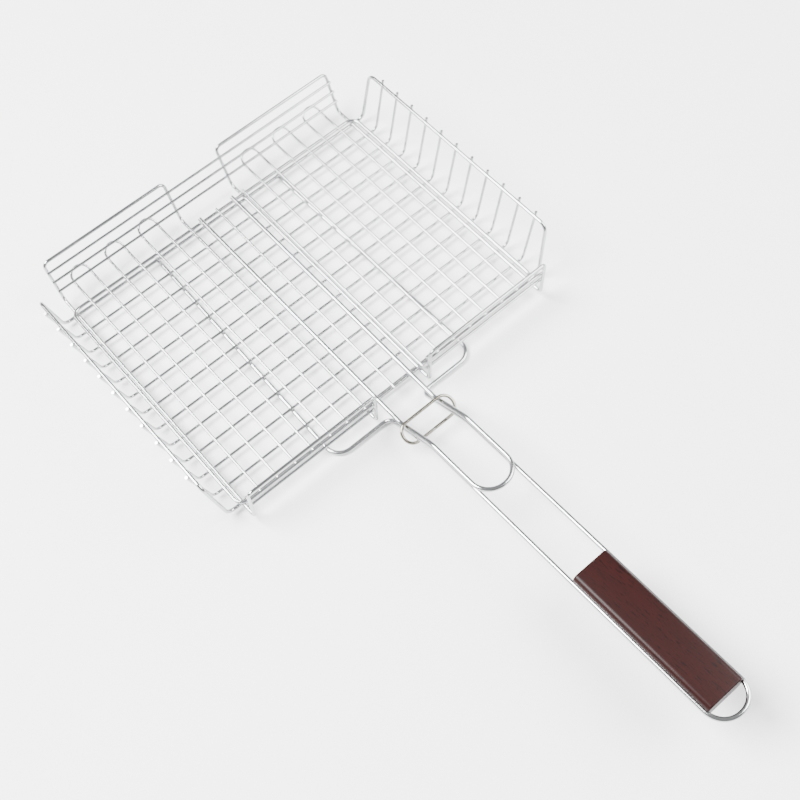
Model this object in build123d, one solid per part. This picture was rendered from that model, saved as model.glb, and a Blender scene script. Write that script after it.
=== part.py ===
from build123d import *
import math
import os

# A hinged wire grill basket with a wooden grip, in millimetres. While it is built, X runs across the
# basket, Y from the grip to the back wall and Z up, with zero at the middle of the cross ribs.

# Wire diameters.
rib_wire = 2.4
lid_wire = 2.3
frame_wire = 3.0
wall_wire = 3.2
handle_wire = 4.0
ring_wire = 2.8

# Welded wires sink this far into each other, and wires that move past each other keep the gap.
weld_sink = 0.02
running_gap = 0.3

# Cross ribs and the side wall frame, which make the floor and the two long walls.
rib_pitch = 20.0
rib_count = 11
floor_half_width = 170.0
rail_half_width = 180.0
rail_half_length = 115.5
rail_height = 53.2
rib_tip_overhang = 2.6
rib_bend = 7.0
frame_bend = 8.0

# The two grid frames, which run along the floor and stand up as the back wall and the front wall.
frame_outer_x = 156.0
frame_inner_x = 29.0
back_foot_y = 139.5
back_top_y = 152.6
back_top_height = 43.0
front_foot_y = -137.0
front_top_y = -139.8
front_top_height = 47.6
back_wire_heights = (14.3, 24.3, 34.3)
front_wire_heights = (19.0, 29.0, 38.5)
wall_wire_overhang = 1.5

# The lid grid.
lid_half_width = 160.0
lid_back_y = 121.0
lid_front_y = -124.5
lid_corner = 9.0
lid_wire_overhang = 2.0
lid_side_wire_x = 30.6
hook_count_each_side = 3
hook_first_x = 58.5
hook_pitch = 36.4
hook_width = 17.8
hook_bend_y = 145.6
hook_rise_angle = 42.0
hook_end_length = 9.8

# The handle wire: legs under the floor, shoulders, a ramp, and the straight that carries the grip.
leg_back_x = 69.0
leg_front_x = 74.5
leg_back_y = 124.0
shoulder_y = -140.0
handle_half_width = 18.0
ramp_angle = 28.0
ramp_top_height = 25.5
handle_rise_angle = 3.5
handle_end_y = -497.0
lid_loop_end_y = -259.0
end_bend = 17.5

# The grip, with its middle on the handle wire.
grip_front_y = -350.5
grip_back_y = -482.5
grip_width = 35.0
grip_thickness = 16.0
grip_edge_round = 4.5
grip_end_round = 1.2
groove_clearance = 0.05

# The locking ring, a closed link round all four handle wires.
ring_upper_y = -161.0
ring_tilt = 30.0
ring_gap = 0.8
ring_length = 18.4
ring_width = 52.0
ring_bend = 8.8

# Heights of the stacked wires, from the ribs up and from the ribs down.
rib_radius = rib_wire / 2
handle_radius = handle_wire / 2
floor_cross_z = rib_radius - wall_wire / 2
leg_z = floor_cross_z - wall_wire / 2 - handle_radius + weld_sink
grid_z = rib_radius + frame_wire / 2 - weld_sink
lid_border_z = grid_z + frame_wire + running_gap
lid_wire_z = lid_border_z + (frame_wire + lid_wire) / 2 - weld_sink
lid_handle_z = lid_border_z + (frame_wire + handle_wire) / 2 - weld_sink

# The finished part stands on the handle legs, with its box centred over the origin.
part_back_y = back_top_y + frame_wire / 2
part_front_y = handle_end_y - handle_radius
placement = Pos(0, -(part_back_y + part_front_y) / 2, handle_radius - leg_z)


def save(name, solid):
    """Place one piece in the part's own frame and write it to its file."""
    placed = placement * solid
    placed.label = name
    export_step(placed, f"parts/{name}.step")


def bent_wire(points, bends, diameter, closed=False):
    """Round wire through corner points, each corner bent to its own radius."""
    path = FilletPolyline(*points, radius=bends, close=closed)
    section = Plane(origin=path @ 0, z_dir=path % 0) * Circle(diameter / 2)
    return sweep(section, path=path)


def straight_wire(start, end, diameter):
    """Round wire in one straight run."""
    path = Line(start, end)
    section = Plane(origin=path @ 0, z_dir=path % 0) * Circle(diameter / 2)
    return sweep(section, path=path)


def cross_rib(y):
    """U-shaped rib: flat under the floor, then up the outside of both wall rails."""
    to_rail = math.hypot(rail_half_width - floor_half_width, rail_height)
    touch = (wall_wire + rib_wire) / 2 - weld_sink
    lean = math.atan2(rail_half_width - floor_half_width, rail_height) + math.asin(touch / to_rail)
    rise = math.sqrt(to_rail**2 - touch**2) + rib_tip_overhang
    tip_x = floor_half_width + rise * math.sin(lean)
    tip_z = rise * math.cos(lean)
    points = [
        (-tip_x, y, tip_z),
        (-floor_half_width, y, 0),
        (floor_half_width, y, 0),
        (tip_x, y, tip_z),
    ]
    return bent_wire(points, [rib_bend, rib_bend], rib_wire)


def side_wall_frame():
    """Closed loop: rail, post, floor cross wire and post, twice round."""
    end_y = rib_pitch * (rib_count + 1) / 2
    corners = []
    for side, start in ((-1, 1), (1, -1)):
        corners.append((side * floor_half_width, start * end_y, floor_cross_z))
        corners.append((side * rail_half_width, start * rail_half_length, rail_height))
        corners.append((side * rail_half_width, -start * rail_half_length, rail_height))
        corners.append((side * floor_half_width, -start * end_y, floor_cross_z))
    return bent_wire(corners, [frame_bend] * len(corners), wall_wire, closed=True)


def grid_frame(side):
    """Closed loop: two floor legs that turn up into a back wall and a front wall."""
    outer = side * frame_outer_x
    inner = side * frame_inner_x
    corners = [
        (outer, front_foot_y, grid_z),
        (outer, back_foot_y, grid_z),
        (outer, back_top_y, back_top_height),
        (inner, back_top_y, back_top_height),
        (inner, back_foot_y, grid_z),
        (inner, front_foot_y, grid_z),
        (inner, front_top_y, front_top_height),
        (outer, front_top_y, front_top_height),
    ]
    bends = [4.0, 7.0, 5.0, 5.0, 7.0, 4.0, 4.5, 4.5]
    return bent_wire(corners, bends, frame_wire, closed=True)


def wall_wire_point(foot_y, top_y, top_height, height):
    """Where a wall wire lies against the inside of a leaning post, as Y and Z."""
    share = (height - grid_z) / (top_height - grid_z)
    post_y = foot_y + share * (top_y - foot_y)
    lean = math.atan2(abs(top_y - foot_y), top_height - grid_z)
    offset = (frame_wire + rib_wire) / 2 - weld_sink
    inward = -math.copysign(1, foot_y)
    return post_y + inward * offset * math.cos(lean), height + offset * math.sin(lean)


def back_wall_wire(height):
    """Wire along the whole back wall, inside both grid frames."""
    y, z = wall_wire_point(back_foot_y, back_top_y, back_top_height, height)
    end_x = frame_outer_x + wall_wire_overhang
    return straight_wire((-end_x, y, z), (end_x, y, z), rib_wire)


def front_wall_wire(side, height):
    """Wire along the front wall of one grid frame, inside its two posts."""
    y, z = wall_wire_point(front_foot_y, front_top_y, front_top_height, height)
    start = (side * (frame_inner_x - wall_wire_overhang), y, z)
    end = (side * (frame_outer_x + wall_wire_overhang), y, z)
    return straight_wire(start, end, rib_wire)


def lid_border():
    """Rounded rectangle under the lid's long wires."""
    corners = [
        (-lid_half_width, lid_front_y, lid_border_z),
        (-lid_half_width, lid_back_y, lid_border_z),
        (lid_half_width, lid_back_y, lid_border_z),
        (lid_half_width, lid_front_y, lid_border_z),
    ]
    return bent_wire(corners, [lid_corner] * 4, frame_wire, closed=True)


def lid_straight_wire(x):
    """Single straight wire across the lid border."""
    start = (x, lid_front_y - lid_wire_overhang, lid_wire_z)
    end = (x, lid_back_y + lid_wire_overhang, lid_wire_z)
    return straight_wire(start, end, lid_wire)


def lid_hook_wire(middle_x):
    """Hairpin across the lid: it passes under the low back wall wire, and its round end turns up."""
    rise = math.radians(hook_rise_angle)
    profile = [
        (lid_front_y - lid_wire_overhang, lid_wire_z),
        (hook_bend_y, lid_wire_z),
        (
            hook_bend_y + hook_end_length * math.cos(rise),
            lid_wire_z + hook_end_length * math.sin(rise),
        ),
    ]
    left_x = middle_x - hook_width / 2
    right_x = middle_x + hook_width / 2
    points = [(left_x, y, z) for y, z in profile]
    points += [(right_x, y, z) for y, z in reversed(profile)]
    return bent_wire(points, [2.5, 8.7, 8.7, 2.5], lid_wire)


def ramp_point(height_above_wire, y):
    """Point on the ramp at one Y, at a distance square to the handle wire."""
    ramp = math.radians(ramp_angle)
    z = leg_z + (shoulder_y - y) * math.tan(ramp) + height_above_wire / math.cos(ramp)
    return y, z


def ramp_top(height_above_wire):
    """Corner between the ramp and the straight, at a distance square to the handle wire."""
    ramp = math.radians(ramp_angle)
    rise = math.radians(handle_rise_angle)
    y = shoulder_y - (ramp_top_height - leg_z) / math.tan(ramp)
    corner = height_above_wire / math.cos((ramp - rise) / 2)
    middle = (ramp + rise) / 2
    return y + corner * math.sin(middle), ramp_top_height + corner * math.cos(middle)


def straight_point(height_above_wire, y):
    """Point on the straight at one Y, at a distance square to the handle wire."""
    start_y, start_z = ramp_top(height_above_wire)
    return y, start_z + (start_y - y) * math.tan(math.radians(handle_rise_angle))


def handle():
    """The thick wire from under the floor, out along the grip and back."""
    half = [
        (leg_back_x, leg_back_y, leg_z),
        (leg_front_x, shoulder_y, leg_z),
        (handle_half_width, shoulder_y, leg_z),
        (handle_half_width, *ramp_top(0)),
        (handle_half_width, *straight_point(0, handle_end_y)),
    ]
    points = half + [(-x, y, z) for x, y, z in reversed(half)]
    bends = [14.0, 8.0, 20.0, end_bend]
    return bent_wire(points, bends + bends[::-1], handle_wire)


def lid_handle():
    """The thick hairpin that crosses the lid and lies on the handle wire."""
    stack = handle_wire + running_gap
    ramp = math.radians(ramp_angle)
    foot_y = shoulder_y - (lid_handle_z - leg_z - stack / math.cos(ramp)) / math.tan(ramp)
    half = [
        (handle_half_width, lid_back_y + lid_wire_overhang, lid_handle_z),
        (handle_half_width, foot_y, lid_handle_z),
        (handle_half_width, *ramp_top(stack)),
        (handle_half_width, *straight_point(stack, lid_loop_end_y)),
    ]
    points = half + [(-x, y, z) for x, y, z in reversed(half)]
    bends = [16.0, 20.0 + stack, end_bend]
    return bent_wire(points, bends + bends[::-1], handle_wire)


def wooden_grip():
    """Block with rounded edges and a groove for the wire along each side."""
    middle_y, middle_z = straight_point(0, (grip_front_y + grip_back_y) / 2)
    length = (grip_front_y - grip_back_y) / math.cos(math.radians(handle_rise_angle))
    block = Box(grip_width, length, grip_thickness)
    block = fillet(block.edges().filter_by(Axis.Y), grip_edge_round)
    ends = block.faces().filter_by(Axis.Y)
    block = fillet(ends.edges(), grip_end_round)
    groove = Rot(90, 0, 0) * Cylinder(handle_radius + groove_clearance, length * 2)
    for side in (-1, 1):
        block -= Pos(side * handle_half_width, 0, 0) * groove
    return Pos(0, middle_y, middle_z) * Rot(-handle_rise_angle, 0, 0) * block


def locking_ring():
    """Closed link: its upper bar lies on the lid handle, its lower bar is under the handle wire."""
    clear = handle_wire + running_gap + (handle_wire + ring_wire) / 2 + ring_gap
    upper_y, upper_z = ramp_point(clear, ring_upper_y)
    tilt = math.radians(ring_tilt)
    lower_y = upper_y - ring_length * math.cos(tilt)
    lower_z = upper_z - ring_length * math.sin(tilt)
    half = ring_width / 2
    corners = [
        (-half, upper_y, upper_z),
        (half, upper_y, upper_z),
        (half, lower_y, lower_z),
        (-half, lower_y, lower_z),
    ]
    return bent_wire(corners, [ring_bend] * 4, ring_wire, closed=True)


os.makedirs("parts", exist_ok=True)

save("side_wall_frame", side_wall_frame())
for rib in range(rib_count):
    rib_y = (rib - (rib_count - 1) / 2) * rib_pitch
    save(f"cross_rib_{rib + 1:02d}", cross_rib(rib_y))
for hand, side in (("left", -1), ("right", 1)):
    save(f"{hand}_grid_frame", grid_frame(side))
    for level, height in zip(("low", "middle", "top"), front_wire_heights):
        save(f"{hand}_front_wire_{level}", front_wall_wire(side, height))
for level, height in zip(("low", "middle", "top"), back_wire_heights):
    save(f"back_wall_wire_{level}", back_wall_wire(height))
save("handle_wire", handle())
save("wooden_grip", wooden_grip())

save("lid_border", lid_border())
for hand, side in (("left", -1), ("right", 1)):
    for hook in range(hook_count_each_side):
        hook_x = side * (hook_first_x + hook * hook_pitch)
        save(f"lid_hook_wire_{hand}_{hook + 1}", lid_hook_wire(hook_x))
    save(f"lid_wire_{hand}", lid_straight_wire(side * lid_side_wire_x))
save("lid_wire_middle", lid_straight_wire(0))
save("lid_handle_wire", lid_handle())

save("locking_ring", locking_ring())
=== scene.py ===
"""Grill basket: a hinged wire basket with a wooden grip, built on its fixed CAD frame."""

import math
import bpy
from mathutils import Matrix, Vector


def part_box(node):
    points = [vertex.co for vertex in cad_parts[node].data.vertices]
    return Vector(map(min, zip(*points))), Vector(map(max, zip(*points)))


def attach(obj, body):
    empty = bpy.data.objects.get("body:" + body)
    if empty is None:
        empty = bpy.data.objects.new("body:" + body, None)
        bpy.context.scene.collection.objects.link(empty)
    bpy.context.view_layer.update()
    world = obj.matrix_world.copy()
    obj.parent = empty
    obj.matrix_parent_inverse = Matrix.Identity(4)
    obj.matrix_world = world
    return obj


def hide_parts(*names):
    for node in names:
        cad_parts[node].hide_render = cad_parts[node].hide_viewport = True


bl_info = {
    "name": "Grill Basket",
    "version": (1, 0, 0),
    "blender": (4, 5, 0),
    "location": "3D View > Sidebar > Grill Basket",
    "description": "Builds a hinged wire grill basket with a wooden grip on its fixed frame",
    "category": "Object",
}

from types import SimpleNamespace

import bmesh
import bpy
from bpy.props import (
    FloatProperty,
    FloatVectorProperty,
    IntProperty,
    PointerProperty,
)
from mathutils import Matrix, Vector

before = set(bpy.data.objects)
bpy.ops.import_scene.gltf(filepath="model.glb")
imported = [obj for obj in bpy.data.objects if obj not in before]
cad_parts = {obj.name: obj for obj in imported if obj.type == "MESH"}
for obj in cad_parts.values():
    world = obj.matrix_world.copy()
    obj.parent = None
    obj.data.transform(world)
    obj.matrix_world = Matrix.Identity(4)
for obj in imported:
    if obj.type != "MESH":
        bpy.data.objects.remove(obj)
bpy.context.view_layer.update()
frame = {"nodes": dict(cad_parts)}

# Steps in the wooden grip's rounded edges, wire grooves and rounded ends.
EDGE_STEPS = 10
GROOVE_STEPS = 12
END_STEPS = 5


# ---------------------------------------------------------------- settings


def length(name, description, default, low=0.0):
    """A size in metres."""
    return FloatProperty(
        name=name,
        description=description,
        default=default,
        min=low,
        precision=4,
        subtype="DISTANCE",
        unit="LENGTH",
    )


def angle(name, description, degrees):
    """An angle, given here in degrees."""
    return FloatProperty(
        name=name,
        description=description,
        default=math.radians(degrees),
        subtype="ANGLE",
        unit="ROTATION",
    )


def colour(name, description, default):
    """A linear colour."""
    return FloatVectorProperty(
        name=name,
        description=description,
        default=default,
        size=3,
        min=0.0,
        max=1.0,
        subtype="COLOR",
    )


class GrillBasketWires(bpy.types.PropertyGroup):
    """Wire thicknesses and how finely wires are drawn."""

    rib: length("Rib wire", "Diameter of the cross ribs and wall wires", 0.0024)
    lid: length("Lid wire", "Diameter of the thin lid wires", 0.0023)
    frame: length("Frame wire", "Diameter of the grid frames and lid border", 0.0030)
    wall: length("Wall wire", "Diameter of the side wall frame", 0.0032)
    handle: length("Handle wire", "Diameter of the two handle wires", 0.0040)
    ring: length("Ring wire", "Diameter of the locking ring", 0.0028)
    round_sides: IntProperty(
        name="Round sides",
        description="Flat sides that make up a round wire",
        default=18,
        min=6,
        max=48,
    )
    bend_steps: IntProperty(
        name="Bend steps",
        description="Straight steps in each bend",
        default=12,
        min=2,
        max=32,
    )


class GrillBasketWalls(bpy.types.PropertyGroup):
    """Shape of the basket's floor and walls."""

    flare: length("Side flare", "How far each rail stands outside the floor", 0.0100)
    rail_setback: length("Rail setback", "How far a rail stops short of the floor frame", 0.0045)
    rib_overhang: length("Rib overhang", "How far a rib end passes its rail", 0.0026)
    rib_bend: length("Rib bend", "Bend radius at the foot of a rib", 0.0070)
    rail_bend: length("Rail bend", "Bend radius of the side wall frame", 0.0080)
    back_lean: length("Back lean", "How far the back wall leans out", 0.0131)
    front_lean: length("Front lean", "How far the front wall leans out", 0.0028)
    back_drop: length("Back drop", "How much lower the back wall is", 0.0046)
    back_foot_bend: length("Back foot bend", "Bend radius at the back feet", 0.0070)
    back_top_bend: length("Back top bend", "Bend radius at the back top", 0.0050)
    front_foot_bend: length("Front foot bend", "Bend radius at the front feet", 0.0040)
    front_top_bend: length("Front top bend", "Bend radius at the front top", 0.0045)


class GrillBasketLid(bpy.types.PropertyGroup):
    """Shape of the lid grid."""

    corner: length("Border corner", "Bend radius of the lid border", 0.0090)
    hook_run: length("Hook run", "Flat run of a hook wire past the border", 0.0246)
    hook_turn: angle("Hook turn", "How far the round end turns up", 42.0)
    hook_end: length("Hook end", "Length of the turned end", 0.0098)
    hook_turn_bend: length("Hook turn bend", "Bend radius behind the wall", 0.0025)
    hook_end_bend: length("Hook end bend", "Bend radius of the closed end", 0.0087)


class GrillBasketHandle(bpy.types.PropertyGroup):
    """Shape of the handle wire and the lid's handle wire."""

    leg_back: length("Leg spread, back", "Half the gap between the leg ends", 0.0690)
    leg_front: length("Leg spread, front", "Half the gap at the shoulders", 0.0745)
    shoulder: length("Shoulder place", "Shoulders in front of the middle rib", 0.1400)
    half_width: length("Half width", "Half the gap between the handle wires", 0.0180)
    ramp: angle("Ramp angle", "Slope up from the basket", 28.0)
    ramp_height: length("Ramp height", "Top of the ramp above the ribs", 0.0255)
    rise: angle("Handle rise", "Slope of the long straight", 3.5)
    gap: length("Gap", "Space between the two handle wires", 0.0003)
    leg_bend: length("Leg bend", "Bend radius under the floor", 0.0140)
    shoulder_bend: length("Shoulder bend", "Bend radius at the ramp foot", 0.0080)
    ramp_bend: length("Ramp bend", "Bend radius at the ramp top", 0.0200)
    lid_foot_bend: length("Lid foot bend", "Bend radius of the lid's wire", 0.0160)
    end_bend: length("End bend", "Bend radius of both round ends", 0.0175)
    ring_bend: length("Ring bend", "Bend radius of the locking ring", 0.0088)


class GrillBasketGrip(bpy.types.PropertyGroup):
    """Shape of the wooden grip."""

    width: length("Width", "Width across the two wires", 0.0350)
    thickness: length("Thickness", "Thickness of the block", 0.0160)
    length: length("Length", "Length along the wires", 0.1322)
    edge_round: length("Edge round", "Radius of the long edges", 0.0045)
    end_round: length("End round", "Radius of the end edges", 0.0012)
    groove: length("Groove", "Radius of the groove for each wire", 0.00218)


class GrillBasketWelds(bpy.types.PropertyGroup):
    """The spot welds at the wire crossings."""

    spread: length("Spread", "Radius of a weld's squeezed metal", 0.00125)
    depth: length("Depth", "Half the thickness of that metal", 0.00055)
    seam: length("Seam length", "Length of a closed frame's butt weld", 0.0022)
    seed: IntProperty(name="Seed", description="Seed for uneven welds", default=7)


class GrillBasketFinish(bpy.types.PropertyGroup):
    """Colours of the plating and the stain."""

    plating: colour("Plating", "Clean bright plating", (0.50, 0.506, 0.515))
    plating_dull: colour("Dull plating", "Handled plating", (0.35, 0.355, 0.36))
    ring: colour("Ring plating", "Plating of the ring", (0.30, 0.285, 0.25))
    ring_dull: colour("Dull ring plating", "Worn ring plating", (0.18, 0.17, 0.14))
    weld: colour("Weld plating", "Plating over a weld", (0.34, 0.34, 0.33))
    stain_dark: colour("Dark stain", "Late wood under the stain", (0.0095, 0.0021, 0.0018))
    stain: colour("Stain", "Early wood under the stain", (0.0175, 0.0034, 0.0029))
    pore: colour("Pores", "Stain that sits in the pores", (0.0058, 0.0015, 0.0013))
    floor: colour("Floor", "Studio floor", (0.90, 0.90, 0.90))


class GrillBasketStage(bpy.types.PropertyGroup):
    """Studio camera and lights."""

    azimuth: angle("Azimuth", "Camera direction round the basket", -34.63)
    elevation: angle("Elevation", "Camera height above the floor", 61.7)
    roll: angle("Roll", "Camera tilt about its own axis", -6.8)
    distance: length("Distance", "Camera to target", 1.03565)
    target: FloatVectorProperty(
        name="Target",
        description="Point that the camera looks at",
        default=(-0.00182, 0.03778, 0.00598),
        size=3,
        subtype="TRANSLATION",
        unit="LENGTH",
    )
    lens: FloatProperty(
        name="Lens",
        description="Focal length on a 36 mm sensor",
        default=56.14,
        min=10.0,
        subtype="DISTANCE_CAMERA",
        unit="CAMERA",
    )
    key: FloatProperty(name="Key light", description="Power in watts", default=320.0)
    fill: FloatProperty(name="Fill light", description="Power in watts", default=150.0)
    world: FloatProperty(name="Room light", description="World strength", default=0.5)


class GrillBasketSettings(bpy.types.PropertyGroup):
    """Everything a user can change."""

    wires: PointerProperty(type=GrillBasketWires)
    walls: PointerProperty(type=GrillBasketWalls)
    lid: PointerProperty(type=GrillBasketLid)
    handle: PointerProperty(type=GrillBasketHandle)
    grip: PointerProperty(type=GrillBasketGrip)
    welds: PointerProperty(type=GrillBasketWelds)
    finish: PointerProperty(type=GrillBasketFinish)
    stage: PointerProperty(type=GrillBasketStage)


def settings():
    """The scene's own settings."""
    return bpy.context.scene.grill_basket


# ---------------------------------------------------------------- places


def middle(node):
    """Middle of a CAD node's box."""
    low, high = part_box(node)
    return (low + high) / 2


def nodes_named(start):
    """CAD nodes whose names begin the same way, in order."""
    return sorted(n for n in frame["nodes"] if n.startswith(start))


def walls_layout():
    """Where the ribs, rails and grid frames run."""
    s = settings()
    ribs = nodes_named("cross_rib_")
    low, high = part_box("side_wall_frame")
    wall = s.wires.wall / 2
    grid_low, grid_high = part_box("right_grid_frame")
    edge = s.wires.frame / 2
    at = SimpleNamespace()
    at.rib_y = [middle(n).y for n in ribs]
    at.middle_y = sum(at.rib_y) / len(ribs)
    at.rib_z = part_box(ribs[0])[0].z + s.wires.rib / 2
    at.rail_x = high.x - wall
    at.rail_z = high.z - wall
    at.cross_z = low.z + wall
    at.floor_x = at.rail_x - s.walls.flare
    at.front_end = low.y + wall
    at.back_end = high.y - wall
    at.inner_x = grid_low.x + edge
    at.outer_x = grid_high.x - edge
    at.grid_z = grid_low.z + edge
    at.front_top_z = grid_high.z - edge
    at.back_top_z = at.front_top_z - s.walls.back_drop
    at.back_top_y = grid_high.y - edge
    at.back_foot_y = at.back_top_y - s.walls.back_lean
    at.front_top_y = grid_low.y + edge
    at.front_foot_y = at.front_top_y + s.walls.front_lean
    return at


def handle_layout():
    """Corner points of the handle wires, with Y and Z in pairs."""
    s = settings()
    h = s.handle
    low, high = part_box("handle_wire")
    lid_low, lid_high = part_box("lid_handle_wire")
    radius = s.wires.handle / 2
    walls = walls_layout()
    at = SimpleNamespace()
    at.leg_z = low.z + radius
    at.leg_back_y = high.y
    at.shoulder_y = walls.middle_y - h.shoulder
    at.end_y = low.y + radius
    at.lid_z = lid_low.z + radius
    at.lid_back_y = lid_high.y
    at.lid_end_y = lid_low.y + radius
    at.stack = s.wires.handle + h.gap
    climb = walls.rib_z + h.ramp_height - at.leg_z
    at.top = (at.shoulder_y - climb / math.tan(h.ramp), at.leg_z + climb)
    corner = at.stack / math.cos((h.ramp - h.rise) / 2)
    lean = (h.ramp + h.rise) / 2
    at.lid_top = (at.top[0] + corner * math.sin(lean), at.top[1] + corner * math.cos(lean))
    at.lid_foot_y = at.shoulder_y - (
        at.lid_z - at.leg_z - at.stack / math.cos(h.ramp)
    ) / math.tan(h.ramp)
    return at


def along_straight(start, y):
    """Height of a handle wire's long straight at one Y."""
    return start[1] + (start[0] - y) * math.tan(settings().handle.rise)


# ---------------------------------------------------------------- node helpers


def add_node(tree, kind, links=(), **values):
    """Adds a node, sets its properties and sockets, and links what feeds it."""
    node = tree.nodes.new(kind)
    for name, value in values.items():
        setattr(node, name, value)
    for name, source in links:
        socket = node.inputs[name]
        if isinstance(source, bpy.types.NodeSocket):
            tree.links.new(source, socket)
        else:
            socket.default_value = source
    return node


def maths(tree, operation, one, two):
    """One arithmetic step."""
    return add_node(tree, "ShaderNodeMath", [(0, one), (1, two)], operation=operation).outputs[0]


def scaled(tree, vector, factors):
    """A vector times fixed factors."""
    links = [(0, vector), (1, factors)]
    return add_node(tree, "ShaderNodeVectorMath", links, operation="MULTIPLY").outputs["Vector"]


def noise(tree, place, scale, detail, roughness=0.5):
    """A noise texture node."""
    links = [("Vector", place), ("Scale", scale), ("Detail", detail), ("Roughness", roughness)]
    return add_node(tree, "ShaderNodeTexNoise", links)


def remap(tree, value, low=0.0, high=1.0, to_low=0.0, to_high=1.0):
    """A value moved from one range to another."""
    links = [("Value", value), ("From Min", low), ("From Max", high)]
    links += [("To Min", to_low), ("To Max", to_high)]
    return add_node(tree, "ShaderNodeMapRange", links).outputs["Result"]


def blend(tree, factor, one, two):
    """Two colours mixed by a factor."""
    mix = add_node(tree, "ShaderNodeMix", [("Factor", factor)], data_type="RGBA")
    tree.links.new(one, mix.inputs[6])
    tree.links.new(two, mix.inputs[7])
    return mix.outputs[2]


def join_effect(tree, result, colour_out, roughness, height):
    """Connects the three outputs of a finish group."""
    for label, source in (("Colour", colour_out), ("Roughness", roughness), ("Height", height)):
        tree.links.new(source, result.inputs[label])
    return tree


def new_group(name, kind, inputs, outputs):
    """A node tree with named sockets. Returns the tree and its two end nodes."""
    tree = bpy.data.node_groups.new(name, kind)
    for label, socket, default in inputs:
        made = tree.interface.new_socket(name=label, in_out="INPUT", socket_type=socket)
        if default is not None:
            made.default_value = default
    for label, socket in outputs:
        tree.interface.new_socket(name=label, in_out="OUTPUT", socket_type=socket)
    return tree, tree.nodes.new("NodeGroupInput"), tree.nodes.new("NodeGroupOutput")


def set_inputs(modifier, values):
    """Sets a Geometry Nodes modifier's inputs by the sockets' identifiers."""
    identifiers = {
        item.name: item.identifier
        for item in modifier.node_group.interface.items_tree
        if item.item_type == "SOCKET" and item.in_out == "INPUT"
    }
    for name, value in values.items():
        modifier[identifiers[name]] = value


def finish_instances(tree, given, target, links):
    """Instances on points, made real and given the finish, as the tree's result."""
    placed = add_node(tree, "GeometryNodeInstanceOnPoints", links).outputs["Instances"]
    real = add_node(tree, "GeometryNodeRealizeInstances", [("Geometry", placed)])
    links = [("Geometry", real.outputs["Geometry"]), ("Material", given.outputs["Finish"])]
    finished = add_node(tree, "GeometryNodeSetMaterial", links)
    tree.links.new(finished.outputs["Geometry"], target)
    return tree


def point_value(tree, name, kind="FLOAT"):
    """A named attribute of the points."""
    kind_of = "GeometryNodeInputNamedAttribute"
    return add_node(tree, kind_of, [("Name", name)], data_type=kind).outputs["Attribute"]


def wire_tree():
    """Bends round wire along a path, and repeats it in an even row."""
    found = bpy.data.node_groups.get("bent_wire_row")
    if found:
        return found
    tree, given, result = new_group(
        "bent_wire_row",
        "GeometryNodeTree",
        [
            ("Path", "NodeSocketGeometry", None),
            ("Wire Diameter", "NodeSocketFloat", 0.003),
            ("Round Sides", "NodeSocketInt", 16),
            ("Bend Steps", "NodeSocketInt", 12),
            ("Row Count", "NodeSocketInt", 1),
            ("Row Offset", "NodeSocketVector", (0.0, 0.0, 0.0)),
            ("Finish", "NodeSocketMaterial", None),
        ],
        [("Wire", "NodeSocketGeometry")],
    )
    tree.is_modifier = True
    path = add_node(tree, "GeometryNodeMeshToCurve", [("Mesh", given.outputs["Path"])])
    rounded = add_node(
        tree,
        "GeometryNodeFilletCurve",
        [
            ("Curve", path.outputs["Curve"]),
            ("Count", given.outputs["Bend Steps"]),
            ("Radius", point_value(tree, "bend")),
        ],
        mode="POLY",
    )
    sized = add_node(
        tree,
        "GeometryNodeSetCurveRadius",
        [("Curve", rounded.outputs["Curve"]), ("Radius", point_value(tree, "thickness"))],
    )
    half = maths(tree, "DIVIDE", given.outputs["Wire Diameter"], 2.0)
    section = add_node(
        tree,
        "GeometryNodeCurvePrimitiveCircle",
        [("Resolution", given.outputs["Round Sides"]), ("Radius", half)],
    )
    tube = add_node(
        tree,
        "GeometryNodeCurveToMesh",
        [
            ("Curve", sized.outputs["Curve"]),
            ("Profile Curve", section.outputs["Curve"]),
            ("Fill Caps", True),
        ],
    )
    smooth = add_node(
        tree, "GeometryNodeSetShadeSmooth", [("Geometry", tube.outputs["Mesh"])]
    )
    row = add_node(
        tree,
        "GeometryNodeMeshLine",
        [("Count", given.outputs["Row Count"]), ("Offset", given.outputs["Row Offset"])],
        mode="OFFSET",
    )
    links = [("Points", row.outputs["Mesh"]), ("Instance", smooth.outputs["Geometry"])]
    return finish_instances(tree, given, result.inputs["Wire"], links)


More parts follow.
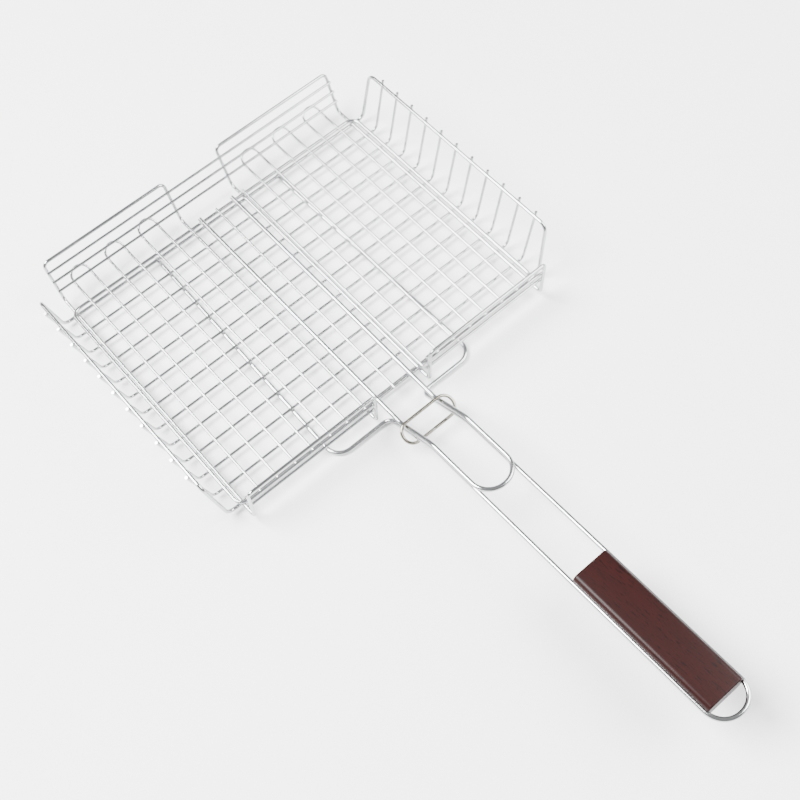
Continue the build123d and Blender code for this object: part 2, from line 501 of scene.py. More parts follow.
def weld_tree():
    """Puts a flat bead of squeezed metal on each crossing point."""
    found = bpy.data.node_groups.get("spot_welds")
    if found:
        return found
    tree, given, result = new_group(
        "spot_welds",
        "GeometryNodeTree",
        [
            ("Crossings", "NodeSocketGeometry", None),
            ("Spread", "NodeSocketFloat", 0.0012),
            ("Depth", "NodeSocketFloat", 0.0005),
            ("Unevenness", "NodeSocketFloat", 0.15),
            ("Seed", "NodeSocketInt", 1),
            ("Finish", "NodeSocketMaterial", None),
        ],
        [("Welds", "NodeSocketGeometry")],
    )
    tree.is_modifier = True
    turn = add_node(
        tree,
        "FunctionNodeAlignRotationToVector",
        [("Vector", point_value(tree, "facing", "FLOAT_VECTOR"))],
        axis="Z",
    )
    bead = add_node(
        tree,
        "GeometryNodeMeshUVSphere",
        [("Segments", 12), ("Rings", 7), ("Radius", 1.0)],
    )
    smooth = add_node(
        tree, "GeometryNodeSetShadeSmooth", [("Geometry", bead.outputs["Mesh"])]
    )
    least = maths(tree, "SUBTRACT", 1.0, given.outputs["Unevenness"])
    most = maths(tree, "ADD", 1.0, given.outputs["Unevenness"])
    uneven = tree.nodes.new("FunctionNodeRandomValue")
    uneven.data_type = "FLOAT"
    low, high, seed = (
        next(k for k in uneven.inputs if k.name == name and k.enabled)
        for name in ("Min", "Max", "Seed")
    )
    tree.links.new(least, low)
    tree.links.new(most, high)
    tree.links.new(given.outputs["Seed"], seed)
    amount = next(k for k in uneven.outputs if k.enabled)
    size = add_node(
        tree,
        "ShaderNodeCombineXYZ",
        [
            ("X", given.outputs["Spread"]),
            ("Y", given.outputs["Spread"]),
            ("Z", given.outputs["Depth"]),
        ],
    )
    scale = add_node(
        tree, "ShaderNodeVectorMath", [(0, size.outputs["Vector"])], operation="SCALE"
    )
    tree.links.new(amount, scale.inputs["Scale"])
    links = [
        ("Points", given.outputs["Crossings"]),
        ("Instance", smooth.outputs["Geometry"]),
        ("Rotation", turn.outputs["Rotation"]),
        ("Scale", scale.outputs["Vector"]),
    ]
    return finish_instances(tree, given, result.inputs["Welds"], links)


# ---------------------------------------------------------------- piece helpers


def plain_piece(name, source, tree, values):
    """Runs a Geometry Nodes tree on a mesh and keeps only the plain mesh that it makes."""
    piece = bpy.data.objects.new(name, source)
    bpy.context.scene.collection.objects.link(piece)
    modifier = piece.modifiers.new("shape", "NODES")
    modifier.node_group = tree
    set_inputs(modifier, values)
    graph = bpy.context.evaluated_depsgraph_get()
    made = bpy.data.meshes.new_from_object(piece.evaluated_get(graph), depsgraph=graph)
    if not made.polygons:
        raise RuntimeError(f"{name} came out empty")
    piece.modifiers.remove(modifier)
    piece.data = made
    made.name = name
    for extra in [a.name for a in made.attributes if a.name in ("bend", "thickness", "facing")]:
        made.attributes.remove(made.attributes[extra])
    bpy.data.meshes.remove(source)
    return piece


def wire_path(runs, wire):
    """Mesh of edges for wire runs. Each run is corner points, bend radii and whether it closes."""
    points, edges, bends, thickness = [], [], [], []
    for corners, radii, closed in runs:
        corners = [Vector(c) for c in corners]
        first = len(points)
        if closed:
            points += corners
            bends += list(radii)
            thickness += [1.0] * len(corners)
        else:
            start = (corners[1] - corners[0]).normalized() * wire / 2
            end = (corners[-2] - corners[-1]).normalized() * wire / 2
            points += [corners[0], corners[0] + start * 0.1, corners[0] + start * 0.35]
            points += corners[1:-1]
            points += [corners[-1] + end * 0.35, corners[-1] + end * 0.1, corners[-1]]
            bends += [0.0] * 3 + list(radii) + [0.0] * 3
            thickness += [0.74, 0.92, 1.0] + [1.0] * len(radii) + [1.0, 0.92, 0.74]
        last = len(points) - 1
        edges += [(i, i + 1) for i in range(first, last)]
        if closed:
            edges.append((last, first))
    mesh = bpy.data.meshes.new("wire_path")
    mesh.from_pydata(points, edges, [])
    mesh.attributes.new("bend", "FLOAT", "POINT").data.foreach_set("value", bends)
    mesh.attributes.new("thickness", "FLOAT", "POINT").data.foreach_set("value", thickness)
    return mesh


def bend_wire(name, runs, wire, finish, count=1, offset=(0.0, 0.0, 0.0)):
    """Round wire along its runs, repeated in a row if count is more than one."""
    w = settings().wires
    return plain_piece(
        name,
        wire_path(runs, wire),
        wire_tree(),
        {
            "Wire Diameter": wire,
            "Round Sides": w.round_sides,
            "Bend Steps": w.bend_steps,
            "Row Count": count,
            "Row Offset": offset,
            "Finish": finish,
        },
    )


def straight_run(node):
    """One straight run along the longest side of a CAD node's box."""
    low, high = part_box(node)
    start, end = middle(node), middle(node)
    way = max(range(3), key=lambda k: high[k] - low[k])
    start[way], end[way] = low[way], high[way]
    return ([start, end], [], False)


def fit_on(piece, body, slot, *nodes):
    """Makes a finished piece ride on its body and stand for its CAD nodes."""
    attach(piece, body)
    if nodes:
        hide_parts(*nodes)
    return piece


def chrome_piece(body, nodes, *wire_values):
    """Bright wire bent by bend_wire, riding on a body in place of its CAD nodes."""
    piece = bend_wire(*wire_values[:3], chrome_wire(), *wire_values[3:])
    return fit_on(piece, body, "chrome_wire", *nodes)


# ---------------------------------------------------------------- finishes


def plating_group():
    """Bright plating with a handled film, faint mottle and drawing marks."""
    found = bpy.data.node_groups.get("wire_plating")
    if found:
        return found
    tree, given, result = new_group(
        "wire_plating",
        "ShaderNodeTree",
        [
            ("Clean Colour", "NodeSocketColor", (0.78, 0.79, 0.8, 1.0)),
            ("Dull Colour", "NodeSocketColor", (0.6, 0.61, 0.62, 1.0)),
            ("Clean Roughness", "NodeSocketFloat", 0.12),
            ("Dull Roughness", "NodeSocketFloat", 0.32),
            ("Film Scale", "NodeSocketFloat", 28.0),
            ("Mottle Scale", "NodeSocketFloat", 420.0),
        ],
        [
            ("Colour", "NodeSocketColor"),
            ("Roughness", "NodeSocketFloat"),
            ("Height", "NodeSocketFloat"),
        ],
    )
    place = tree.nodes.new("ShaderNodeTexCoord").outputs["Object"]
    film = noise(tree, place, given.outputs["Film Scale"], 3.0).outputs["Fac"]
    mottle = noise(tree, place, given.outputs["Mottle Scale"], 5.0, 0.65).outputs["Fac"]
    both = maths(tree, "MULTIPLY", remap(tree, film, 0.42, 0.68), mottle)
    tint = blend(tree, both, given.outputs["Clean Colour"], given.outputs["Dull Colour"])
    clean, dull = given.outputs["Clean Roughness"], given.outputs["Dull Roughness"]
    rough = remap(tree, both, to_low=clean, to_high=dull)
    marks = noise(tree, place, 1600.0, 2.0).outputs["Fac"]
    return join_effect(tree, result, tint, rough, maths(tree, "ADD", mottle, marks))


def wood_group():
    """Stained open-grained wood: bands, streaks and pores that run along Y."""
    found = bpy.data.node_groups.get("stained_grain")
    if found:
        return found
    tree, given, result = new_group(
        "stained_grain",
        "ShaderNodeTree",
        [
            ("Dark Stain", "NodeSocketColor", (0.03, 0.006, 0.004, 1.0)),
            ("Stain", "NodeSocketColor", (0.105, 0.022, 0.014, 1.0)),
            ("Pores", "NodeSocketColor", (0.012, 0.003, 0.002, 1.0)),
            ("Band Scale", "NodeSocketFloat", 95.0),
            ("Pore Scale", "NodeSocketFloat", 1150.0),
            ("Tilt", "NodeSocketVector", (0.0, 0.0, 0.0)),
        ],
        [
            ("Colour", "NodeSocketColor"),
            ("Roughness", "NodeSocketFloat"),
            ("Height", "NodeSocketFloat"),
        ],
    )
    place = tree.nodes.new("ShaderNodeTexCoord").outputs["Object"]
    links = [("Vector", place), ("Rotation", given.outputs["Tilt"])]
    level = add_node(tree, "ShaderNodeMapping", links).outputs["Vector"]
    wander = noise(tree, level, 26.0, 2.0).outputs["Color"]
    links = [
        (0, scaled(tree, level, (1.0, 0.07, 1.0))),
        (1, scaled(tree, wander, (0.006, 0.0, 0.006))),
    ]
    bent = add_node(tree, "ShaderNodeVectorMath", links, operation="ADD").outputs["Vector"]
    bands = noise(tree, bent, given.outputs["Band Scale"], 6.0, 0.62).outputs["Fac"]
    streaks = noise(tree, bent, 520.0, 3.0, 0.6).outputs["Fac"]
    mix = add_node(tree, "ShaderNodeMix", [(0, 0.35), (2, bands), (3, streaks)], data_type="FLOAT")
    grain = mix.outputs[0]
    mask = remap(tree, grain, 0.28, 0.72)
    stained = blend(tree, mask, given.outputs["Dark Stain"], given.outputs["Stain"])
    pore_way = scaled(tree, level, (1.0, 0.12, 1.0))
    pores = noise(tree, pore_way, given.outputs["Pore Scale"], 1.0, 0.4).outputs["Fac"]
    pore_mask = remap(tree, pores, 0.60, 0.70)
    flecked = blend(tree, pore_mask, stained, given.outputs["Pores"])
    rough = remap(tree, grain, to_low=0.46, to_high=0.34)
    return join_effect(tree, result, flecked, rough, maths(tree, "SUBTRACT", grain, pore_mask))


def finish_material(name, group, values, bump, constants):
    """A material whose group gives colour, roughness and height, with constants on the shader."""
    found = bpy.data.materials.get(name)
    if found:
        return found
    material = bpy.data.materials.new(name)
    material.use_nodes = True
    tree = material.node_tree
    shader = next(n for n in tree.nodes if n.type == "BSDF_PRINCIPLED")
    effect = add_node(tree, "ShaderNodeGroup", node_tree=group)
    for label, value in values.items():
        effect.inputs[label].default_value = value
    relief = add_node(
        tree,
        "ShaderNodeBump",
        [("Strength", bump), ("Distance", 0.0002), ("Height", effect.outputs["Height"])],
    )
    tree.links.new(effect.outputs["Colour"], shader.inputs["Base Color"])
    tree.links.new(effect.outputs["Roughness"], shader.inputs["Roughness"])
    tree.links.new(relief.outputs["Normal"], shader.inputs["Normal"])
    for label, value in constants.items():
        shader.inputs[label].default_value = value
    return material


def chrome_wire():
    """Bright plated wire."""
    f = settings().finish
    return finish_material(
        "bright_wire_plating",
        plating_group(),
        {
            "Clean Colour": (*f.plating, 1.0),
            "Dull Colour": (*f.plating_dull, 1.0),
            "Clean Roughness": 0.13,
            "Dull Roughness": 0.34,
        },
        0.06,
        {"Metallic": 1.0},
    )


def ring_chrome():
    """The ring's warmer, duller plating."""
    f = settings().finish
    return finish_material(
        "ring_plating",
        plating_group(),
        {
            "Clean Colour": (*f.ring, 1.0),
            "Dull Colour": (*f.ring_dull, 1.0),
            "Clean Roughness": 0.2,
            "Dull Roughness": 0.42,
            "Film Scale": 60.0,
        },
        0.1,
        {"Metallic": 1.0},
    )


def weld_chrome():
    """Plating over rough weld metal."""
    f = settings().finish
    return finish_material(
        "weld_plating",
        plating_group(),
        {
            "Clean Colour": (*f.weld, 1.0),
            "Dull Colour": (*f.plating_dull, 1.0),
            "Clean Roughness": 0.26,
            "Dull Roughness": 0.48,
            "Film Scale": 300.0,
            "Mottle Scale": 900.0,
        },
        0.25,
        {"Metallic": 1.0},
    )


def stained_wood():
    """Dark red-brown stained wood under satin varnish."""
    s = settings()
    return finish_material(
        "stained_varnished_wood",
        wood_group(),
        {
            "Dark Stain": (*s.finish.stain_dark, 1.0),
            "Stain": (*s.finish.stain, 1.0),
            "Pores": (*s.finish.pore, 1.0),
            "Tilt": (s.handle.rise, 0.0, 0.0),
        },
        0.12,
        {"Coat Weight": 0.03, "Coat Roughness": 0.3, "Specular IOR Level": 0.12},
    )


def studio_floor():
    """Pale matte floor with a faint unevenness."""
    f = settings().finish
    edge = tuple(c * 0.97 for c in f.floor)
    return finish_material(
        "pale_studio_floor",
        plating_group(),
        {
            "Clean Colour": (*f.floor, 1.0),
            "Dull Colour": (*edge, 1.0),
            "Clean Roughness": 0.7,
            "Dull Roughness": 0.85,
            "Film Scale": 3.0,
            "Mottle Scale": 60.0,
        },
        0.01,
        {"Metallic": 0.0},
    )


# ---------------------------------------------------------------- pieces


class GRILL_OT_side_wall_frame(bpy.types.Operator):
    """Bend the closed frame of both side walls"""

    bl_idname = "grill_basket.side_wall_frame"
    bl_label = "Side Wall Frame"

    def execute(self, context):
        s, at = settings(), walls_layout()
        corners = []
        back, front = at.back_end, at.front_end
        short = math.copysign(s.walls.rail_setback, back - front)
        for side, first, second, step in ((-1, back, front, short), (1, front, back, -short)):
            corners.append((side * at.floor_x, first, at.cross_z))
            corners.append((side * at.rail_x, first - step, at.rail_z))
            corners.append((side * at.rail_x, second + step, at.rail_z))
            corners.append((side * at.floor_x, second, at.cross_z))
        bends = [s.walls.rail_bend] * len(corners)
        runs = [(corners, bends, True)]
        chrome_piece("basket", ["side_wall_frame"], "side_wall_frame_wire", runs, s.wires.wall)
        return {"FINISHED"}


class GRILL_OT_cross_ribs(bpy.types.Operator):
    """Bend the row of ribs that makes the floor and side walls"""

    bl_idname = "grill_basket.cross_ribs"
    bl_label = "Cross Ribs"

    def execute(self, context):
        s, at = settings(), walls_layout()
        nodes = nodes_named("cross_rib_")
        height = at.rail_z - at.rib_z
        to_rail = math.hypot(s.walls.flare, height)
        touch = (s.wires.wall + s.wires.rib) / 2
        lean = math.atan2(s.walls.flare, height) + math.asin(touch / to_rail)
        rise = math.sqrt(to_rail**2 - touch**2) + s.walls.rib_overhang
        tip_x = at.floor_x + rise * math.sin(lean)
        tip_z = at.rib_z + rise * math.cos(lean)
        y = at.rib_y[0]
        corners = [
            (-tip_x, y, tip_z),
            (-at.floor_x, y, at.rib_z),
            (at.floor_x, y, at.rib_z),
            (tip_x, y, tip_z),
        ]
        pitch = (at.rib_y[-1] - y) / (len(nodes) - 1)
        runs = [(corners, [s.walls.rib_bend] * 2, False)]
        offset = (0.0, pitch, 0.0)
        chrome_piece("basket", nodes, "cross_rib_wires", runs, s.wires.rib, len(nodes), offset)
        return {"FINISHED"}


class GRILL_OT_grid_frames(bpy.types.Operator):
    """Bend the two frames that make the floor's long wires, back wall and front wall"""

    bl_idname = "grill_basket.grid_frames"
    bl_label = "Grid Frames"

    def execute(self, context):
        s, at = settings(), walls_layout()
        w = s.walls
        rise = [w.front_foot_bend, w.back_foot_bend, w.back_top_bend]
        bends = rise + rise[::-1] + [w.front_top_bend] * 2
        for hand, side in (("left", -1), ("right", 1)):
            outer, inner = side * at.outer_x, side * at.inner_x
            corners = [
                (outer, at.front_foot_y, at.grid_z),
                (outer, at.back_foot_y, at.grid_z),
                (outer, at.back_top_y, at.back_top_z),
                (inner, at.back_top_y, at.back_top_z),
                (inner, at.back_foot_y, at.grid_z),
                (inner, at.front_foot_y, at.grid_z),
                (inner, at.front_top_y, at.front_top_z),
                (outer, at.front_top_y, at.front_top_z),
            ]
            name, runs = f"{hand}_grid_frame", [(corners, bends, True)]
            chrome_piece("basket", [name], f"{name}_wire", runs, s.wires.frame)
        return {"FINISHED"}


class GRILL_OT_wall_wires(bpy.types.Operator):
    """Cut the straight wires of the back wall and the front walls"""

    bl_idname = "grill_basket.wall_wires"
    bl_label = "Back and Front Wall Wires"

    def execute(self, context):
        wire = settings().wires.rib
        low = middle("back_wall_wire_low")
        offset = middle("back_wall_wire_middle") - low
        nodes = nodes_named("back_wall_wire_")
        runs = [straight_run("back_wall_wire_low")]
        chrome_piece("basket", nodes, "back_wall_wires", runs, wire, len(nodes), offset)
        for hand in ("left", "right"):
            nodes = nodes_named(f"{hand}_front_wire_")
            runs = [straight_run(n) for n in nodes]
            chrome_piece("basket", nodes, f"{hand}_front_wall_wires", runs, wire)
        return {"FINISHED"}


class GRILL_OT_handle_wire(bpy.types.Operator):
    """Bend the thick handle wire"""

    bl_idname = "grill_basket.handle_wire"
    bl_label = "Handle Wire"

    def execute(self, context):
        s, at = settings(), handle_layout()
        h = s.handle
        half = [
            (h.leg_back, at.leg_back_y, at.leg_z),
            (h.leg_front, at.shoulder_y, at.leg_z),
            (h.half_width, at.shoulder_y, at.leg_z),
            (h.half_width, *at.top),
            (h.half_width, at.end_y, along_straight(at.top, at.end_y)),
        ]
        corners = half + [(-x, y, z) for x, y, z in reversed(half)]
        bends = [h.leg_bend, h.shoulder_bend, h.ramp_bend, h.end_bend]
        runs = [(corners, bends + bends[::-1], False)]
        chrome_piece("basket", ["handle_wire"], "handle_wire_loop", runs, s.wires.handle)
        return {"FINISHED"}


class GRILL_OT_wooden_grip(bpy.types.Operator):
    """Shape the wooden grip, with a groove for the wire along each side"""

    bl_idname = "grill_basket.wooden_grip"
    bl_label = "Wooden Grip"

    def execute(self, context):
        s = settings()
        g = s.grip
        half_w, half_t = g.width / 2, g.thickness / 2
        wire_x = s.handle.half_width
        reach = math.sqrt(g.groove**2 - (wire_x - half_w) ** 2)
        open_angle = math.asin(reach / g.groove)
        quarter = []
        for k in range(EDGE_STEPS + 1):
            a = math.pi / 2 * k / EDGE_STEPS
            quarter.append(
                (
                    half_w - g.edge_round + g.edge_round * math.sin(a),
                    half_t - g.edge_round + g.edge_round * math.cos(a),
                )
            )
        lip = 0.0003
        quarter.append((half_w, reach + lip))
        groove = []
        for k in range(GROOVE_STEPS + 1):
            a = math.pi - open_angle + 2 * open_angle * k / GROOVE_STEPS
            groove.append((wire_x + g.groove * math.cos(a), g.groove * math.sin(a)))
        right = quarter + groove + [(x, -z) for x, z in reversed(quarter)]
        section = right + [(-x, -z) for x, z in right]
        inset = g.end_round
        stations = []
        for k in range(END_STEPS + 1):
            a = math.pi / 2 * k / END_STEPS
            stations.append((inset * (1 - math.sin(a)), inset * (1 - math.cos(a))))
        rows = [(-g.length / 2 + d, i) for i, d in stations]
        rows += [(0.0, 0.0)]
        rows += [(g.length / 2 - d, i) for i, d in reversed(stations)]
        mesh = bpy.data.meshes.new("wooden_grip_block")
        shape = bmesh.new()
        loops = []
        for y, shrink in rows:
            sx = (half_w - shrink) / half_w
            sz = (half_t - shrink) / half_t
            loops.append([shape.verts.new((x * sx, y, z * sz)) for x, z in section])
        for one, two in zip(loops, loops[1:]):
            for k in range(len(section)):
                n = (k + 1) % len(section)
                shape.faces.new((one[k], one[n], two[n], two[k]))
        shape.faces.new(loops[0][::-1])
        shape.faces.new(loops[-1])
        bmesh.ops.recalc_face_normals(shape, faces=shape.faces[:])
        for face in shape.faces:
            face.smooth = len(face.verts) == 4
        turn = Matrix.Rotation(-s.handle.rise, 4, "X")
        place = Matrix.Translation(middle("wooden_grip"))
        bmesh.ops.transform(shape, matrix=place @ turn, verts=shape.verts[:])
        shape.to_mesh(mesh)
        shape.free()
        mesh.materials.append(stained_wood())
        piece = bpy.data.objects.new("wooden_grip_block", mesh)
        context.scene.collection.objects.link(piece)
        fit_on(piece, "basket", "stained_wood", "wooden_grip")
        return {"FINISHED"}


class GRILL_OT_lid_border(bpy.types.Operator):
    """Bend the lid's rounded border"""

    bl_idname = "grill_basket.lid_border"
    bl_label = "Lid Border"

    def execute(self, context):
        s = settings()
        low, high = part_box("lid_border")
        edge = s.wires.frame / 2
        z = low.z + edge
        corners = [
            (low.x + edge, low.y + edge, z),
            (low.x + edge, high.y - edge, z),
            (high.x - edge, high.y - edge, z),
            (high.x - edge, low.y + edge, z),
        ]
        runs = [(corners, [s.lid.corner] * len(corners), True)]
        chrome_piece("lid", ["lid_border"], "lid_border_wire", runs, s.wires.frame)
        return {"FINISHED"}


class GRILL_OT_lid_hook_wires(bpy.types.Operator):
    """Bend the six hairpins whose round ends turn up behind the back wall"""

    bl_idname = "grill_basket.lid_hook_wires"
    bl_label = "Lid Hook Wires"

    def execute(self, context):
        s = settings()
        d = s.lid
        radius = s.wires.lid / 2
        bend_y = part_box("lid_border")[1].y - s.wires.frame / 2 + d.hook_run
        for hand in ("left", "right"):
            nodes = nodes_named(f"lid_hook_wire_{hand}_")
            low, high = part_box(nodes[0])
            z = low.z + radius
            profile = [
                (low.y, z),
                (bend_y, z),
                (
                    bend_y + d.hook_end * math.cos(d.hook_turn),
                    z + d.hook_end * math.sin(d.hook_turn),
                ),
            ]
            corners = [(low.x + radius, *p) for p in profile]
            corners += [(high.x - radius, *p) for p in reversed(profile)]
            bends = [d.hook_turn_bend, d.hook_end_bend]
            step = (middle(nodes[-1]) - middle(nodes[0])) / (len(nodes) - 1)
            name, runs = f"lid_hook_wires_{hand}", [(corners, bends + bends[::-1], False)]
            offset = (step.x, 0.0, 0.0)
            chrome_piece("lid", nodes, name, runs, s.wires.lid, len(nodes), offset)
        return {"FINISHED"}


class GRILL_OT_lid_straight_wires(bpy.types.Operator):
    """Cut the lid's three single wires"""

    bl_idname = "grill_basket.lid_straight_wires"
    bl_label = "Lid Straight Wires"

    def execute(self, context):
        wire = settings().wires.lid
        step = middle("lid_wire_middle") - middle("lid_wire_left")
        nodes = ("lid_wire_left", "lid_wire_middle", "lid_wire_right")
        runs, offset = [straight_run("lid_wire_left")], (step.x, 0.0, 0.0)
        chrome_piece("lid", nodes, "lid_straight_wires", runs, wire, len(nodes), offset)
        return {"FINISHED"}


class GRILL_OT_lid_handle_wire(bpy.types.Operator):
    """Bend the lid's thick hairpin"""

    bl_idname = "grill_basket.lid_handle_wire"
    bl_label = "Lid Handle Wire"

    def execute(self, context):
        s, at = settings(), handle_layout()
        h = s.handle
        half = [
            (h.half_width, at.lid_back_y, at.lid_z),
            (h.half_width, at.lid_foot_y, at.lid_z),
            (h.half_width, *at.lid_top),
            (h.half_width, at.lid_end_y, along_straight(at.lid_top, at.lid_end_y)),
        ]
        corners = half + [(-x, y, z) for x, y, z in reversed(half)]
        bends = [h.lid_foot_bend, h.ramp_bend + at.stack, h.end_bend]
        runs = [(corners, bends + bends[::-1], False)]
        chrome_piece("lid", ["lid_handle_wire"], "lid_handle_wire_loop", runs, s.wires.handle)
        return {"FINISHED"}


class GRILL_OT_locking_ring(bpy.types.Operator):
    """Bend the locking ring, with the butt weld that closes it"""

    bl_idname = "grill_basket.locking_ring"
    bl_label = "Locking Ring"

    def execute(self, context):
        s = settings()
        low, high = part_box("locking_ring")
        radius = s.wires.ring / 2
        upper = (high.y - radius, high.z - radius)
        lower = (low.y + radius, low.z + radius)
        corners = [
            (low.x + radius, *upper),
            (high.x - radius, *upper),
            (high.x - radius, *lower),
            (low.x + radius, *lower),
        ]
        piece = bend_wire(
            "locking_ring_wire",
            [(corners, [s.handle.ring_bend] * 4, True)],
            s.wires.ring,
            ring_chrome(),
        )
        fit_on(piece, "ring", "ring_chrome", "locking_ring")
        seam = butt_seam("locking_ring_seam", [((-0.002, *lower), (1, 0, 0), s.wires.ring)])
        fit_on(seam, "ring", "ring_chrome")
        return {"FINISHED"}


def butt_seam(name, places):
    """Low collars of weld metal where closed wires meet end to end."""
    reach = settings().welds.seam / 2
    points, edges, bends, thickness = [], [], [], []
    for centre, way, wire in places:
        centre, way = Vector(centre), Vector(way).normalized()
        first = len(points)
        for share, size in ((-1, 0.97), (-0.5, 1.04), (0, 1.08), (0.5, 1.04), (1, 0.97)):
            points.append(centre + way * reach * share)
            thickness.append(size * wire / places[0][2])
            bends.append(0.0)
        edges += [(i, i + 1) for i in range(first, len(points) - 1)]
    mesh = bpy.data.meshes.new("seam_path")
    mesh.from_pydata(points, edges, [])
    mesh.attributes.new("bend", "FLOAT", "POINT").data.foreach_set("value", bends)
    mesh.attributes.new("thickness", "FLOAT", "POINT").data.foreach_set("value", thickness)
    w = settings().wires
    return plain_piece(
        name,
        mesh,
        wire_tree(),
        {
            "Wire Diameter": places[0][2],
            "Round Sides": w.round_sides,
            "Bend Steps": w.bend_steps,
            "Row Count": 1,
            "Row Offset": (0.0, 0.0, 0.0),
            "Finish": weld_chrome(),
        },
    )


def spot_welds(name, crossings):
    """Beads of squeezed metal. Each crossing is a point and the way from wire to wire."""
    mesh = bpy.data.meshes.new("crossings")
    mesh.from_pydata([p for p, _ in crossings], [], [])
    facing = [c for _, way in crossings for c in Vector(way).normalized()]
    mesh.attributes.new("facing", "FLOAT_VECTOR", "POINT").data.foreach_set("vector", facing)
    w = settings().welds
    return plain_piece(
        name,
        mesh,
        weld_tree(),
        {
            "Spread": w.spread,
            "Depth": w.depth,
            "Unevenness": 0.18,
            "Seed": w.seed,
            "Finish": weld_chrome(),
        },
    )


class GRILL_OT_basket_welds(bpy.types.Operator):
    """Put the spot welds and frame seams on the basket"""

    bl_idname = "grill_basket.basket_welds"
    bl_label = "Basket Welds"

    def execute(self, context):
        s, at, arm = settings(), walls_layout(), handle_layout()
        up = (0, 0, 1)
        leg_x = [side * x for side in (-1, 1) for x in (at.inner_x, at.outer_x)]
        above = at.rib_z + s.wires.rib / 2
        below = at.rib_z - s.wires.rib / 2
        crossings = [((x, y, above), up) for x in leg_x for y in at.rib_y]
        crossings += [((x, y, above), up) for x in leg_x for y in (at.front_end, at.back_end)]
        run = arm.leg_back_y - arm.shoulder_y
        for y in at.rib_y:
            share = (y - arm.shoulder_y) / run
            x = s.handle.leg_front + share * (s.handle.leg_back - s.handle.leg_front)
            crossings += [((side * x, y, below), up) for side in (-1, 1)]
        touch = s.wires.wall / 2
        for y in at.rib_y:
            for side in (-1, 1):
                crossings.append(((side * (at.rail_x + touch), y, at.rail_z), (side, 0, 0)))
        half = s.wires.rib / 2
        for node in nodes_named("back_wall_wire_"):
            place = middle(node)
            crossings += [((x, place.y + half, place.z), (0, 1, -0.3)) for x in leg_x]
        for hand, side in (("left", -1), ("right", 1)):
            for node in nodes_named(f"{hand}_front_wire_"):
                place = middle(node)
                for x in (side * at.inner_x, side * at.outer_x):
                    crossings.append(((x, place.y - half, place.z), (0, -1, 0)))
        fit_on(spot_welds("basket_spot_welds", crossings), "basket", "chrome_wire")
        frame_wire, wall_wire = s.wires.frame, s.wires.wall
        quarter_y = at.rib_y[3] + (at.rib_y[4] - at.rib_y[3]) / 2
        places = [
            ((-at.outer_x, quarter_y, at.grid_z), (0, 1, 0), frame_wire),
            ((at.outer_x, quarter_y, at.grid_z), (0, 1, 0), frame_wire),
            ((0.012, at.back_end, at.cross_z), (1, 0, 0), wall_wire),
        ]
        fit_on(butt_seam("basket_frame_seams", places), "basket", "chrome_wire")
        return {"FINISHED"}


class GRILL_OT_lid_welds(bpy.types.Operator):
    """Put the spot welds and the border seam on the lid"""

    bl_idname = "grill_basket.lid_welds"
    bl_label = "Lid Welds"

    def execute(self, context):
        s = settings()
        low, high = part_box("lid_border")
        edge = s.wires.frame / 2
        ends = (low.y + edge, high.y - edge)
        radius = s.wires.lid / 2
        across = [middle(f"lid_wire_{k}").x for k in ("left", "middle", "right")]
        across += [-s.handle.half_width, s.handle.half_width]
        for node in nodes_named("lid_hook_wire_"):
            first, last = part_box(node)
            across += [first.x + radius, last.x - radius]
        top = high.z
        crossings = [((x, y, top), (0, 0, 1)) for x in across for y in ends]
        fit_on(spot_welds("lid_spot_welds", crossings), "lid", "chrome_wire")
        places = [((0.0092, ends[1], low.z + edge), (1, 0, 0), s.wires.frame)]
        fit_on(butt_seam("lid_border_seam", places), "lid", "chrome_wire")
        return {"FINISHED"}


# ---------------------------------------------------------------- stage


def aim(thing, place, target):
    """Puts a light at a place and points it at a target."""
    thing.location = place
    thing.rotation_euler = (Vector(target) - Vector(place)).to_track_quat("-Z", "Y").to_euler()


class GRILL_OT_stage(bpy.types.Operator):
    """Set out the studio floor, lights and camera"""

    bl_idname = "grill_basket.stage"
    bl_label = "Studio Stage"

    def execute(self, context):
        s = settings().stage
        scene = context.scene
        mesh = bpy.data.meshes.new("studio_floor")
        reach = 4.0
        corners = [(-reach, -reach, 0), (reach, -reach, 0), (reach, reach, 0), (-reach, reach, 0)]
        mesh.from_pydata(corners, [], [(0, 1, 2, 3)])
        mesh.materials.append(studio_floor())
        floor = bpy.data.objects.new("studio_floor", mesh)
        scene.collection.objects.link(floor)

        for name, power, size, place in (
            ("key_light", s.key, 1.6, (-1.1, 0.9, 2.0)),
            ("fill_light", s.fill, 1.8, (1.5, -0.9, 1.7)),
        ):
            data = bpy.data.lights.new(name, "AREA")
            data.energy = power
            data.shape = "DISK"
            data.size = size
            light = bpy.data.objects.new(name, data)
            scene.collection.objects.link(light)
            aim(light, place, s.target)

        world = bpy.data.worlds.new("studio_room")
        world.use_nodes = True
        background = next(n for n in world.node_tree.nodes if n.type == "BACKGROUND")
        background.inputs["Color"].default_value = (1.0, 1.0, 1.0, 1.0)
        background.inputs["Strength"].default_value = s.world
        scene.world = world

        data = bpy.data.cameras.new("studio_camera")
        data.lens = s.lens
        data.sensor_width = 36.0
        data.clip_start = 0.01
        camera = bpy.data.objects.new("studio_camera", data)
        scene.collection.objects.link(camera)
        target = Vector(s.target)
        back = Vector(
            (
                math.sin(s.azimuth) * math.cos(s.elevation),
                -math.cos(s.azimuth) * math.cos(s.elevation),
                math.sin(s.elevation),
            )
        )
        level = Vector((math.cos(s.azimuth), math.sin(s.azimuth), 0.0))
        upright = back.cross(level)
        right = level * math.cos(s.roll) + upright * math.sin(s.roll)
        above = back.cross(right)
        turn = Matrix((right, above, back)).transposed()
        camera.matrix_world = Matrix.Translation(target + back * s.distance) @ turn.to_4x4()
        scene.camera = camera
        return {"FINISHED"}


# ---------------------------------------------------------------- panel


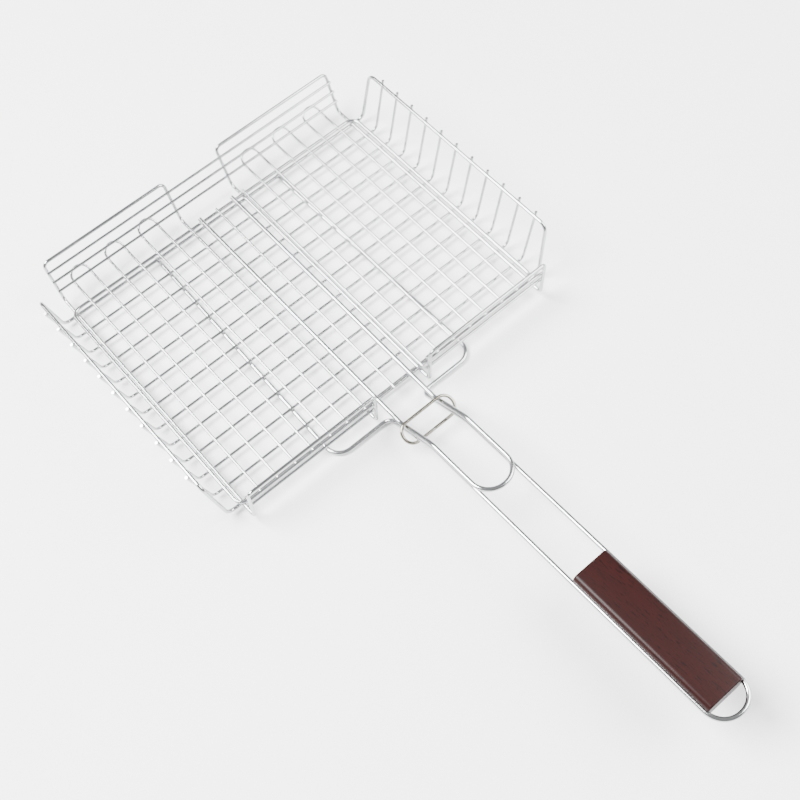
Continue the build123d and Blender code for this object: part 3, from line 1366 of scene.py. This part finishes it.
OPERATORS = (
    GRILL_OT_side_wall_frame,
    GRILL_OT_cross_ribs,
    GRILL_OT_grid_frames,
    GRILL_OT_wall_wires,
    GRILL_OT_handle_wire,
    GRILL_OT_wooden_grip,
    GRILL_OT_basket_welds,
    GRILL_OT_lid_border,
    GRILL_OT_lid_hook_wires,
    GRILL_OT_lid_straight_wires,
    GRILL_OT_lid_handle_wire,
    GRILL_OT_lid_welds,
    GRILL_OT_locking_ring,
    GRILL_OT_stage,
)


class GRILL_PT_panel(bpy.types.Panel):
    """Lists the basket's pieces and settings"""

    bl_idname = "GRILL_PT_panel"
    bl_label = "Grill Basket"
    bl_space_type = "VIEW_3D"
    bl_region_type = "UI"
    bl_category = "Grill Basket"

    def draw(self, context):
        column = self.layout.column()
        for operator in OPERATORS:
            column.operator(operator.bl_idname)
        for name in ("wires", "walls", "lid", "handle", "grip", "welds", "finish", "stage"):
            group = getattr(settings(), name)
            box = self.layout.box()
            box.label(text=name.capitalize())
            for prop in group.bl_rna.properties:
                if prop.identifier not in ("rna_type", "name"):
                    box.prop(group, prop.identifier)


GROUPS = (
    GrillBasketWires,
    GrillBasketWalls,
    GrillBasketLid,
    GrillBasketHandle,
    GrillBasketGrip,
    GrillBasketWelds,
    GrillBasketFinish,
    GrillBasketStage,
    GrillBasketSettings,
)


def register():
    """Registers the settings, the operators and the panel."""
    for one in (*GROUPS, *OPERATORS, GRILL_PT_panel):
        bpy.utils.register_class(one)
    bpy.types.Scene.grill_basket = PointerProperty(type=GrillBasketSettings)


def unregister():
    """Takes away what register() added."""
    del bpy.types.Scene.grill_basket
    for one in reversed((*GROUPS, *OPERATORS, GRILL_PT_panel)):
        bpy.utils.unregister_class(one)


def main():
    """Builds the whole basket."""
    register()
    bpy.ops.grill_basket.side_wall_frame()
    bpy.ops.grill_basket.cross_ribs()
    bpy.ops.grill_basket.grid_frames()
    bpy.ops.grill_basket.wall_wires()
    bpy.ops.grill_basket.handle_wire()
    bpy.ops.grill_basket.wooden_grip()
    bpy.ops.grill_basket.basket_welds()
    bpy.ops.grill_basket.lid_border()
    bpy.ops.grill_basket.lid_hook_wires()
    bpy.ops.grill_basket.lid_straight_wires()
    bpy.ops.grill_basket.lid_handle_wire()
    bpy.ops.grill_basket.lid_welds()
    bpy.ops.grill_basket.locking_ring()
    bpy.ops.grill_basket.stage()


if __name__ == "__main__":
    main()
